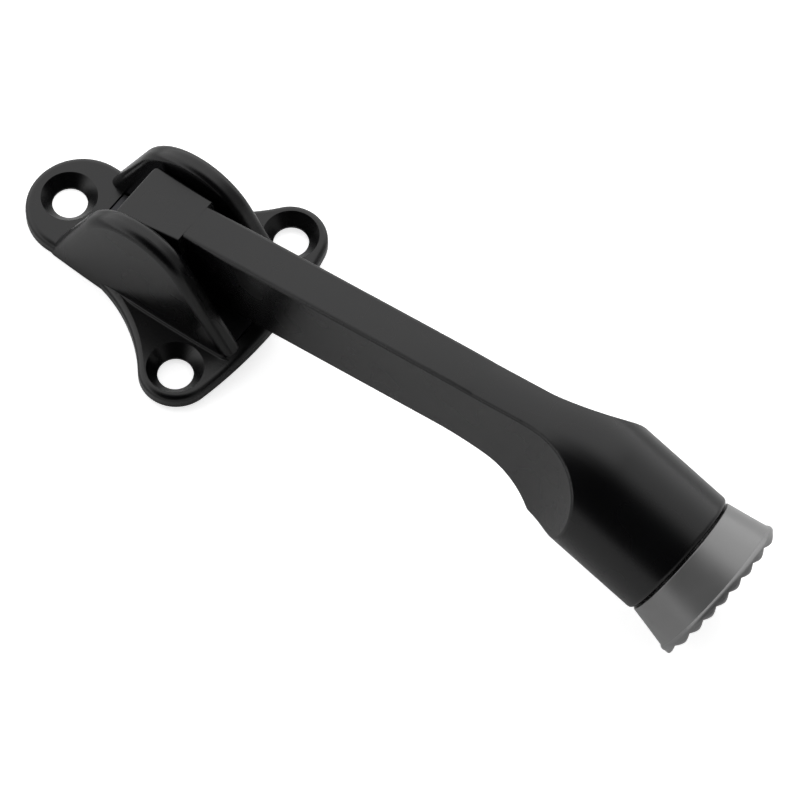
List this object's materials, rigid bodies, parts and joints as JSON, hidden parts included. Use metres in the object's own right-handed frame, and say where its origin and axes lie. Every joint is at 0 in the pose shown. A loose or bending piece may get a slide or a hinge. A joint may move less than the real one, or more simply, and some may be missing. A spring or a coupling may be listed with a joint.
{
  "type": "kick-down door holder",
  "caption": "Kick-down door holder: a screw-on cheeked bracket, a cranked arm hinged on a pin and held by a leaf spring, and a flared ribbed rubber tip that grips the floor.",
  "frame": {"origin": "on the door face, midway between the two paired screw holes", "axes": "+Z out of the door, +X along the lowered arm from the hinge to the tip, Y along the hinge pin"},
  "size_m": [0.1317, 0.04, 0.0313],
  "materials": {
    "bracket_black": "satin black powder coat on a casting",
    "arm_black": "satin black powder coat on a casting",
    "pin_steel": "blackened steel",
    "spring_steel": "blued spring steel",
    "tip_rubber": "matte moulded grey rubber"
  },
  "bodies": {
    "base": {"bracket": "bracket_black", "pivot_pin": "pin_steel", "leaf_spring": "spring_steel"},
    "lever": {"arm": "arm_black", "rubber_tip": "tip_rubber"}
  },
  "joints": [
    {"name": "arm_pivot", "type": "hinge", "parent": "base", "child": "lever", "pos_m": [-0.0118, 0, 0.01], "axis": [0, -1, 0], "range_deg": [0, 90]}
  ]
}
